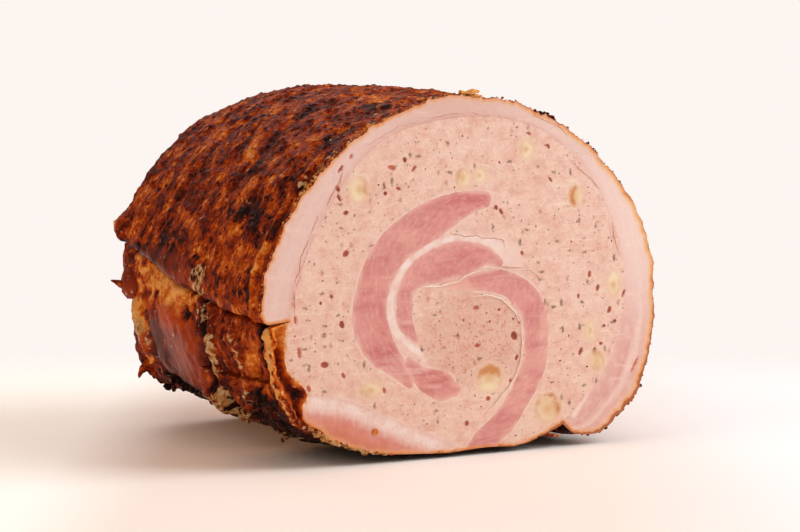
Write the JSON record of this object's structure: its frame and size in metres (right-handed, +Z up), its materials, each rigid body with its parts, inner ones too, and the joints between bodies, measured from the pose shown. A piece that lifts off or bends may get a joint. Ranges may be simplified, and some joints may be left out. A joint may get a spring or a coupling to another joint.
{
  "type": "rolled roast",
  "caption": "Half of a stuffed rolled roast with a flat cut face: browned pork belly round a light forcemeat with strips of loin, a fat layer and nuts.",
  "frame": {"origin": "on the surface that the roast rests on, below the middle of its box", "axes": "+Z up; the roll lies along Y with its cut face towards -Y; +X to the right in the view of the cut face"},
  "size_m": [0.1594, 0.1295, 0.1251],
  "materials": {
    "browned_belly": "browned, rubbed with spice, slightly greasy crust; pale pink fat and meat where it is cut",
    "forcemeat": "fine pale pink forcemeat with herbs and small air holes, moist satin",
    "loin": "cured pink lean meat with a faint grain, moist satin",
    "fat": "white to pale pink fat, moist satin",
    "nut": "cut hazelnut, cream with a golden ring, matt"
  },
  "bodies": {
    "root": {"belly_wrap": "browned_belly", "belly_base": "browned_belly", "forcemeat": "forcemeat", "loin_right": "loin", "loin_outer": "loin", "loin_middle": "loin", "loin_lower": "loin", "fat_layer": "fat", "nut_01": "nut", "nut_02": "nut", "nut_03": "nut", "nut_04": "nut", "nut_05": "nut", "nut_06": "nut", "nut_07": "nut", "nut_08": "nut", "nut_09": "nut", "nut_10": "nut", "nut_11": "nut"}
  },
  "joints": []
}
